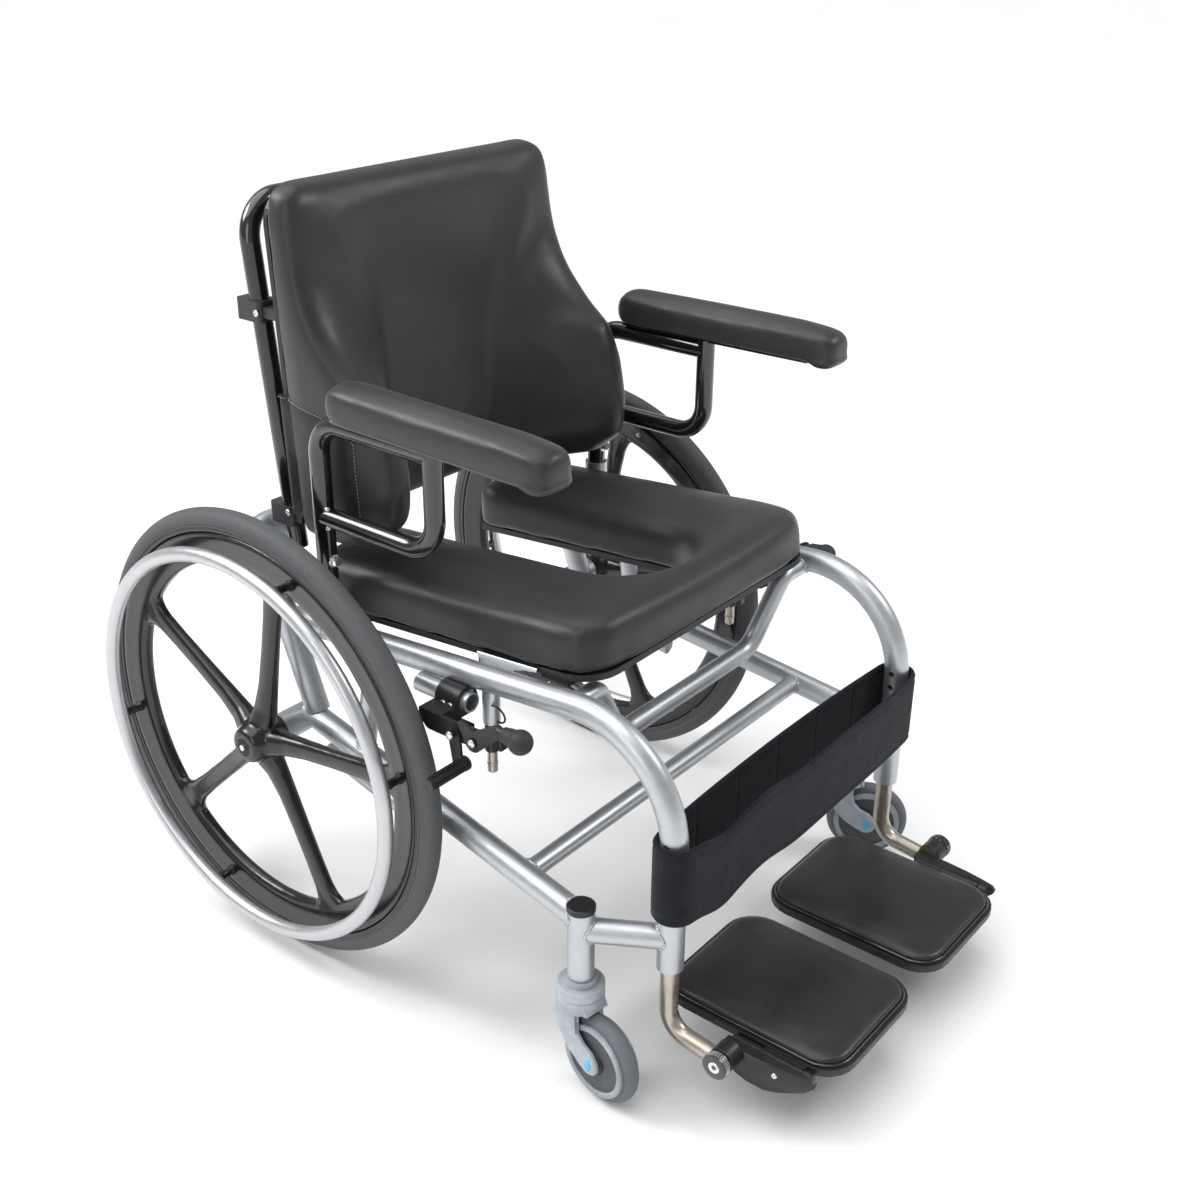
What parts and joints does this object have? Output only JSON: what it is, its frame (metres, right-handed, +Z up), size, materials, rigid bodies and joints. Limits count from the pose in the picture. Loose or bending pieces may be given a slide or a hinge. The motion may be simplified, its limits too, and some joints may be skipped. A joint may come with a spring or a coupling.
{
  "type": "commode wheelchair",
  "caption": "Self-propelled shower and commode wheelchair with tubular frame, open-ended cushioned seat, contoured backrest, armrests, calf strap and footplates.",
  "frame": {"origin": "on the floor, under the middle of the chair's bounding box", "axes": "+Z up; +Y from the footplates to the back; +X to the chair user's left"},
  "size_m": [0.779, 1.088, 0.984],
  "materials": {
    "frame_silver": "satin",
    "footrest_steel": "satin",
    "gloss_black": "gloss",
    "black_plastic": "matte",
    "wheel_black": "gloss",
    "leatherette": "satin",
    "caster_grey": "satin",
    "caster_cover": "matte",
    "tyre": "matte",
    "grip_rubber": "matte",
    "button_steel": "gloss",
    "neoprene": "matte"
  },
  "bodies": {
    "frame": {"side_tube_right": "frame_silver", "side_tube_left": "frame_silver", "lower_tube_right": "frame_silver", "lower_tube_left": "frame_silver", "caster_head_right": "frame_silver", "caster_head_left": "frame_silver", "head_cap_right": "black_plastic", "head_cap_left": "black_plastic", "rear_arch": "frame_silver", "drop_cross_tube": "frame_silver", "low_cross_tube": "frame_silver", "axle_right": "button_steel", "axle_left": "button_steel", "back_hoop": "gloss_black", "back_clamps_upper": "black_plastic", "back_clamps_lower": "black_plastic", "backrest_shell": "black_plastic", "backrest_pad": "leatherette", "brake_clamp_right": "black_plastic", "brake_clamp_left": "black_plastic", "calf_strap": "neoprene"},
    "seat": {"seat_board": "frame_silver", "seat_pad": "leatherette"},
    "armrest_right": {"arm_frame_right": "gloss_black", "arm_pad_right": "leatherette"},
    "rear_wheel_right": {"tyre_right": "tyre", "wheel_right": "wheel_black", "handrim_right": "frame_silver"},
    "axle_button_right": {"axle_button_right": "button_steel"},
    "caster_fork_right": {"caster_fork_right": "caster_grey"},
    "caster_wheel_right": {"caster_wheel_right": "caster_cover", "caster_tyre_right": "tyre"},
    "brake_lever_right": {"brake_lever_right": "black_plastic", "brake_grip_right": "grip_rubber"},
    "brake_arm_right": {"brake_arm_right": "black_plastic"},
    "footrest_right": {"footrest_tube_right": "footrest_steel"},
    "foot_button_right": {"foot_button_right": "button_steel"},
    "foot_hinge_right": {"foot_hinge_right": "black_plastic"},
    "footplate_right": {"footplate_right": "black_plastic", "foot_pad_right": "leatherette"},
    "armrest_left": {"arm_frame_left": "gloss_black", "arm_pad_left": "leatherette"},
    "rear_wheel_left": {"tyre_left": "tyre", "wheel_left": "wheel_black", "handrim_left": "frame_silver"},
    "axle_button_left": {"axle_button_left": "button_steel"},
    "caster_fork_left": {"caster_fork_left": "caster_grey"},
    "caster_wheel_left": {"caster_wheel_left": "caster_cover", "caster_tyre_left": "tyre"},
    "brake_lever_left": {"brake_lever_left": "black_plastic", "brake_grip_left": "grip_rubber"},
    "brake_arm_left": {"brake_arm_left": "black_plastic"},
    "footrest_left": {"footrest_tube_left": "footrest_steel"},
    "foot_button_left": {"foot_button_left": "button_steel"},
    "foot_hinge_left": {"foot_hinge_left": "black_plastic"},
    "footplate_left": {"footplate_left": "black_plastic", "foot_pad_left": "leatherette"}
  },
  "joints": [
    {"name": "seat_slide", "type": "slide", "parent": "frame", "child": "seat", "axis": [0, -0.9964, 0.0847], "range_m": [0, 0.075]},
    {"name": "armrest_lift_right", "type": "slide", "parent": "frame", "child": "armrest_right", "axis": [0, 0, 1], "range_m": [0, 0.08]},
    {"name": "rear_wheel_spin_right", "type": "hinge", "parent": "frame", "child": "rear_wheel_right", "pos_m": [-0.338, 0.239, 0.305], "axis": [1, 0, 0], "continuous": true},
    {"name": "axle_button_press_right", "type": "slide", "parent": "frame", "child": "axle_button_right", "axis": [1, 0, 0], "range_m": [0, 0.003], "stiffness_N_per_m": 300},
    {"name": "caster_swivel_right", "type": "hinge", "parent": "frame", "child": "caster_fork_right", "pos_m": [-0.305, -0.253, 0.158], "axis": [0, 0, 1], "continuous": true},
    {"name": "caster_spin_right", "type": "hinge", "parent": "caster_fork_right", "child": "caster_wheel_right", "pos_m": [-0.31001, -0.28865, 0.058], "axis": [0.9903, -0.1392, 0], "continuous": true},
    {"name": "brake_lever_swing_right", "type": "hinge", "parent": "frame", "child": "brake_lever_right", "pos_m": [-0.32, -0.111, 0.423], "axis": [-1, 0, 0], "range_deg": [0, 60]},
    {"name": "brake_arm_swing_right", "type": "hinge", "parent": "frame", "child": "brake_arm_right", "pos_m": [-0.318, -0.077, 0.421], "axis": [1, 0, 0], "range_deg": [0, 42]},
    {"name": "footrest_height_right", "type": "slide", "parent": "frame", "child": "footrest_right", "axis": [0, 0, -1], "range_m": [-0.04, 0]},
    {"name": "foot_button_press_right", "type": "slide", "parent": "footrest_right", "child": "foot_button_right", "axis": [-1, 0, 0], "range_m": [0, 0.004], "stiffness_N_per_m": 300},
    {"name": "footplate_pitch_right", "type": "hinge", "parent": "footrest_right", "child": "foot_hinge_right", "pos_m": [-0.252, -0.423, 0.095], "axis": [1, 0, 0], "range_deg": [-15, 15]},
    {"name": "footplate_flip_right", "type": "hinge", "parent": "foot_hinge_right", "child": "footplate_right", "pos_m": [-0.22183, -0.4785, 0.092], "axis": [0, -1, 0], "range_deg": [0, 38]},
    {"name": "armrest_lift_left", "type": "slide", "parent": "frame", "child": "armrest_left", "axis": [0, 0, 1], "range_m": [0, 0.08]},
    {"name": "rear_wheel_spin_left", "type": "hinge", "parent": "frame", "child": "rear_wheel_left", "pos_m": [0.338, 0.239, 0.305], "axis": [1, 0, 0], "continuous": true},
    {"name": "axle_button_press_left", "type": "slide", "parent": "frame", "child": "axle_button_left", "axis": [-1, 0, 0], "range_m": [0, 0.003], "stiffness_N_per_m": 300},
    {"name": "caster_swivel_left", "type": "hinge", "parent": "frame", "child": "caster_fork_left", "pos_m": [0.305, -0.253, 0.158], "axis": [0, 0, 1], "continuous": true},
    {"name": "caster_spin_left", "type": "hinge", "parent": "caster_fork_left", "child": "caster_wheel_left", "pos_m": [0.3219, -0.28479, 0.058], "axis": [0.8829, 0.4695, 0], "continuous": true},
    {"name": "brake_lever_swing_left", "type": "hinge", "parent": "frame", "child": "brake_lever_left", "pos_m": [0.32, -0.111, 0.423], "axis": [-1, 0, 0], "range_deg": [0, 60]},
    {"name": "brake_arm_swing_left", "type": "hinge", "parent": "frame", "child": "brake_arm_left", "pos_m": [0.318, -0.077, 0.421], "axis": [1, 0, 0], "range_deg": [0, 42]},
    {"name": "footrest_height_left", "type": "slide", "parent": "frame", "child": "footrest_left", "axis": [0, 0, -1], "range_m": [-0.04, 0]},
    {"name": "foot_button_press_left", "type": "slide", "parent": "footrest_left", "child": "foot_button_left", "axis": [1, 0, 0], "range_m": [0, 0.004], "stiffness_N_per_m": 300},
    {"name": "footplate_pitch_left", "type": "hinge", "parent": "footrest_left", "child": "foot_hinge_left", "pos_m": [0.252, -0.423, 0.095], "axis": [1, 0, 0], "range_deg": [-15, 15]},
    {"name": "footplate_flip_left", "type": "hinge", "parent": "foot_hinge_left", "child": "footplate_left", "pos_m": [0.22183, -0.4785, 0.092], "axis": [0, 1, 0], "range_deg": [0, 38]}
  ],
  "couplings": [
    {"joint": "brake_arm_swing_right", "follows": "brake_lever_swing_right", "ratio": 0.7},
    {"joint": "brake_arm_swing_left", "follows": "brake_lever_swing_left", "ratio": 0.7}
  ]
}
